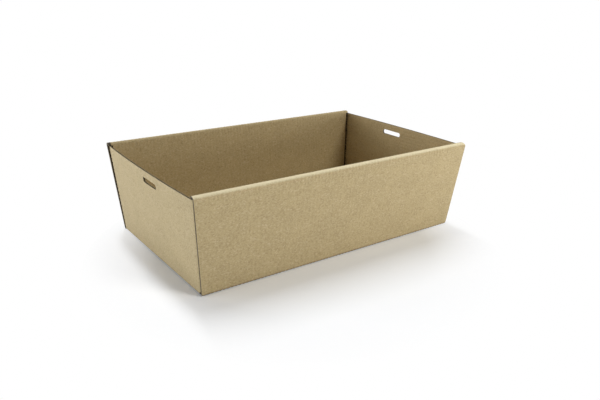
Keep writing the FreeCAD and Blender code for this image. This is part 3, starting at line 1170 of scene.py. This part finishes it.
def add_camera():
    """A camera at the photograph's place, direction and lens."""
    across = Vector((math.cos(CAMERA_YAW), -math.sin(CAMERA_YAW), 0))
    level = Vector((math.sin(CAMERA_YAW), math.cos(CAMERA_YAW), 0))
    ahead = level * math.cos(CAMERA_PITCH) - Vector((0, 0, math.sin(CAMERA_PITCH)))
    upward = across.cross(ahead)
    x_axis = across * math.cos(CAMERA_ROLL) + upward * math.sin(CAMERA_ROLL)
    y_axis = upward * math.cos(CAMERA_ROLL) - across * math.sin(CAMERA_ROLL)
    turn = Matrix((x_axis, y_axis, -ahead)).transposed().to_4x4()
    lens = bpy.data.cameras.new("camera")
    lens.lens = CAMERA_LENS
    lens.sensor_width = CAMERA_FILM
    lens.clip_start = CAMERA_NEAR
    camera = add_object("camera", lens)
    camera.matrix_world = Matrix.Translation(CAMERA_SPOT) @ turn
    bpy.context.scene.camera = camera
    bpy.context.scene.view_settings.view_transform = "Standard"


# Operators and panel


class TRAY_OT_long_sides(bpy.types.Operator):
    """Fold the two long sides: outer wall, rolled rim and inner wall"""

    bl_idname = "tray.long_sides"
    bl_label = "Long sides"

    def execute(self, context):
        settings = context.scene.tray_scene
        for name, turned in (("front_side", False), ("back_side", True)):
            fold = Fold(settings.tray, settings.board, -1 if turned else 1)
            finished(both_liners(side_mesh, fold, settings), name, turned)
        return {"FINISHED"}


class TRAY_OT_base_and_ends(bpy.types.Operator):
    """Fold the base and the two ends with their hand slots and tuck flaps"""

    bl_idname = "tray.base_and_ends"
    bl_label = "Base and ends"

    def execute(self, context):
        settings = context.scene.tray_scene
        fold = Fold(settings.tray, settings.board)
        finished(both_liners(base_and_ends_mesh, fold, settings), "base_and_ends")
        return {"FINISHED"}


class TRAY_OT_fluting(bpy.types.Operator):
    """Lay the fluted paper between the liners of every panel"""

    bl_idname = "tray.fluting"
    bl_label = "Fluting"

    def execute(self, context):
        settings = context.scene.tray_scene
        board = settings.board
        front = Fold(settings.tray, board)
        back = Fold(settings.tray, board, -1)
        tree = shared(bpy.data.node_groups, "flute_relief", relief_tree)
        paper = shared(bpy.data.materials, "shaded_fluting_paper", lambda: shaded_fluting_paper(settings.finish))
        values = fluting_values(board, paper)
        panels = (
            ("front_fluting", side_mesh, front),
            ("back_fluting", side_mesh, back),
            ("base_and_ends_fluting", base_and_ends_mesh, front),
        )
        for name, make, fold in panels:
            mesh = paper_mesh(make(fold, CORE), tree, values, paper, board.fluting, 0)
            finished([mesh], name, turned=fold is back)
        return {"FINISHED"}


class TRAY_OT_studio(bpy.types.Operator):
    """Set up the floor, the lamps and the camera"""

    bl_idname = "tray.studio"
    bl_label = "Studio"

    def execute(self, context):
        studio = context.scene.tray_scene.studio
        add_floor(studio)
        add_world(studio)
        add_lamp("back_lamp", BACK_LAMP, studio.back)
        add_lamp("left_lamp", LEFT_LAMP, studio.left, COOL)
        add_lamp("front_lamp", FRONT_LAMP, studio.front)
        add_lamp("fill_lamp", FILL_LAMP, studio.fill, WARM)
        add_camera()
        return {"FINISHED"}


class TRAY_PT_panel(bpy.types.Panel):
    """Buttons for the tray's pieces and its studio, and their sizes and colours"""

    bl_idname = "TRAY_PT_panel"
    bl_label = "Cardboard tray box"
    bl_space_type = "VIEW_3D"
    bl_region_type = "UI"
    bl_category = "Tray"

    def draw(self, context):
        layout = self.layout
        for operator in OPERATORS:
            layout.operator(operator.bl_idname)
        settings = context.scene.tray_scene
        for group in (settings.tray, settings.board, settings.finish, settings.studio):
            box = layout.box()
            for name in group.bl_rna.properties.keys():
                if name not in ("rna_type", "name"):
                    box.prop(group, name)


OPERATORS = (
    TRAY_OT_long_sides,
    TRAY_OT_base_and_ends,
    TRAY_OT_fluting,
    TRAY_OT_studio,
)
GROUPS = (TraySizes, BoardSizes, Finish, Studio, TrayScene)
CLASSES = (*GROUPS, *OPERATORS, TRAY_PT_panel)


def register():
    for known in CLASSES:
        bpy.utils.register_class(known)
    bpy.types.Scene.tray_scene = PointerProperty(type=TrayScene)


def unregister():
    del bpy.types.Scene.tray_scene
    for known in reversed(CLASSES):
        bpy.utils.unregister_class(known)


def main():
    register()
    bpy.ops.tray.long_sides()
    bpy.ops.tray.base_and_ends()
    bpy.ops.tray.fluting()
    bpy.ops.tray.studio()


if __name__ == "__main__":
    main()
